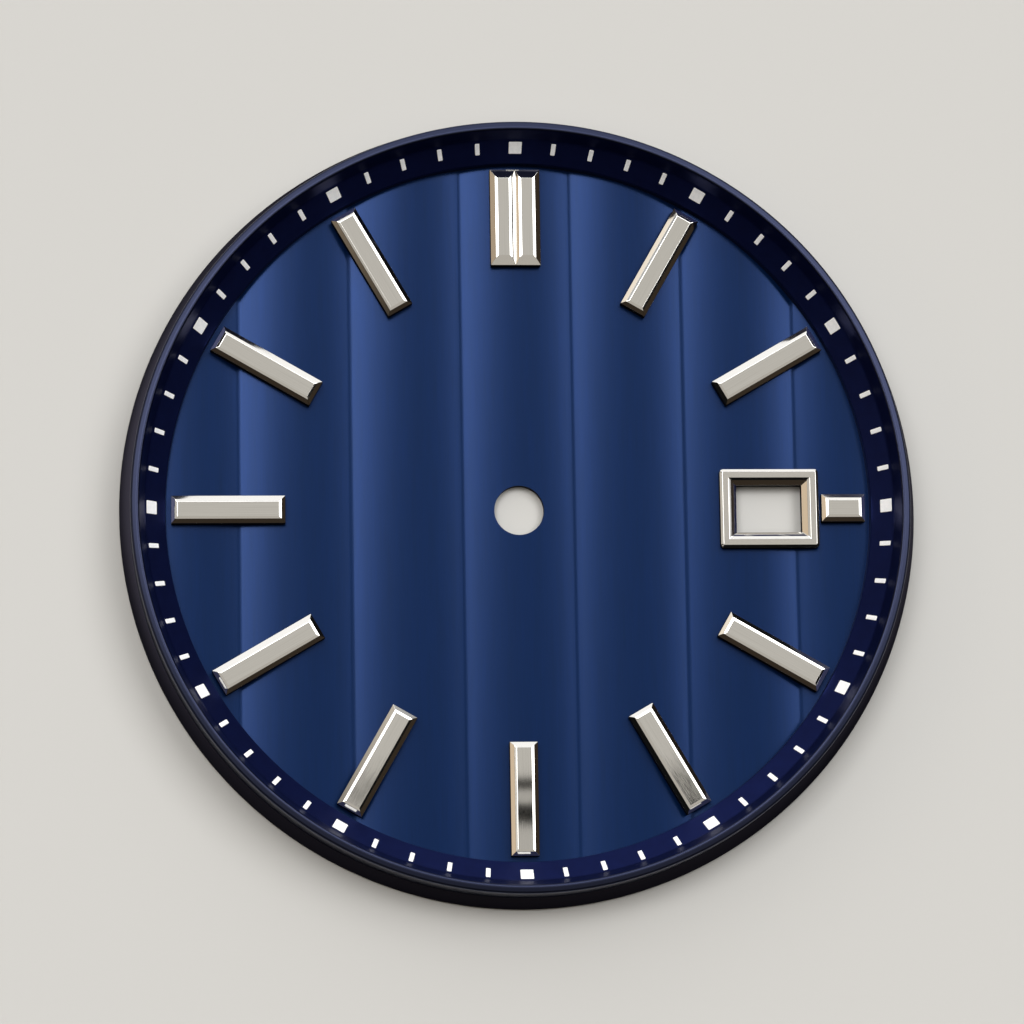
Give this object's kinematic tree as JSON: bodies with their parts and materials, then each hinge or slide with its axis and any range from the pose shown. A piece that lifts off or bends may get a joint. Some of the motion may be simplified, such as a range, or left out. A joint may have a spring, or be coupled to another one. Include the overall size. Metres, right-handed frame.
{
  "type": "watch dial",
  "caption": "Round fluted watch dial with a raised chapter ring, applied batons, a framed date window at three and two feet that locate it on a movement.",
  "frame": {"origin": "on the dial's axis, in the centre hole, at the back face of the dial plate", "axes": "+Z out of the dial's face along the hands' axis, +Y towards twelve o'clock, +X towards three o'clock"},
  "size_m": [0.0333, 0.0332, 0.0043],
  "materials": {
    "lacquered_brass_plate": "pressed brass, vertical satin brushing under translucent blue lacquer, bare turned back",
    "lacquered_brass_ring": "turned brass under glossy dark blue lacquer",
    "white_print": "pad-printed white ink",
    "cut_plated_brass": "diamond-cut bevels and a finely brushed top, rhodium plated",
    "plated_frame": "polished chamfers and a satin rim, rhodium plated",
    "copper_foot": "drawn copper wire, brazed"
  },
  "bodies": {
    "root": {"dial_plate": "lacquered_brass_plate", "chapter_ring": "lacquered_brass_ring", "minute_marks": "white_print", "hour_marks": "white_print", "hour_index_01": "cut_plated_brass", "hour_index_02": "cut_plated_brass", "hour_index_03": "cut_plated_brass", "hour_index_04": "cut_plated_brass", "hour_index_05": "cut_plated_brass", "hour_index_06": "cut_plated_brass", "hour_index_07": "cut_plated_brass", "hour_index_08": "cut_plated_brass", "hour_index_09": "cut_plated_brass", "hour_index_10": "cut_plated_brass", "hour_index_11": "cut_plated_brass", "hour_index_12_left": "cut_plated_brass", "hour_index_12_right": "cut_plated_brass", "date_frame": "plated_frame", "dial_foot_a": "copper_foot", "dial_foot_b": "copper_foot"}
  },
  "joints": []
}
